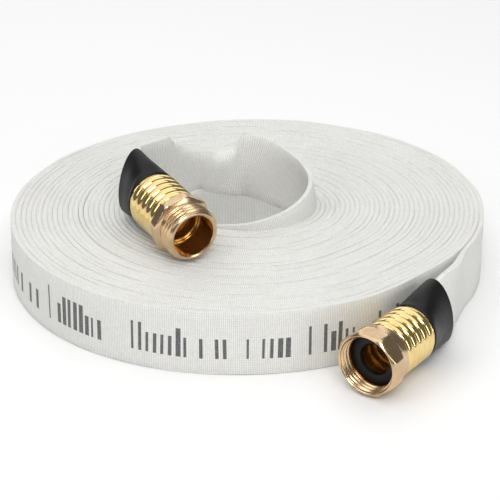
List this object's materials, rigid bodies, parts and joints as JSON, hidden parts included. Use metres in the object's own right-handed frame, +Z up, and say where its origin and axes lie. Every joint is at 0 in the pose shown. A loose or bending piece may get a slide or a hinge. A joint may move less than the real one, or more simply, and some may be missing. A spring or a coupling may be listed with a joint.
{
  "type": "rolled fire hose",
  "caption": "Flat woven fire hose rolled on its edge, with a brass male coupling lying on top and a brass swivel coupling at its side.",
  "frame": {"origin": "middle of the footprint's bounding box, on the floor under the roll", "axes": "+Z up, -Y towards the side where both couplings' mouths point, +X towards the side where the outer end leaves the roll"},
  "size_m": [0.237, 0.24, 0.0695],
  "materials": {
    "jacket": "off-white woven polyester, fine ribs across the hose",
    "liner": "smooth thin inner tube",
    "cuff_rubber": "black rubber with a soft sheen",
    "washer_rubber": "matt black rubber",
    "ferrule_brass": "bright rolled brass",
    "stem_brass": "drawn brass, darker inside the bore",
    "machined_brass": "machined brass with a slightly pink tone"
  },
  "bodies": {
    "hose": {"hose_roll": "jacket", "hose_inner_tail": "jacket", "hose_outer_tail": "jacket", "male_hose_end": "jacket", "male_liner_end": "liner", "male_cuff": "cuff_rubber", "male_ferrule": "ferrule_brass", "male_stem": "stem_brass", "male_body": "machined_brass", "female_hose_end": "jacket", "female_liner_end": "liner", "female_cuff": "cuff_rubber", "female_ferrule": "ferrule_brass", "female_stem": "stem_brass"},
    "swivel_nut": {"female_swivel_nut": "machined_brass", "female_washer": "washer_rubber"}
  },
  "joints": [
    {"name": "nut_swivel", "type": "hinge", "parent": "hose", "child": "swivel_nut", "pos_m": [0.05129, -0.11142, 0.0169], "axis": [0.5841, 0.8117, 0], "continuous": true}
  ]
}
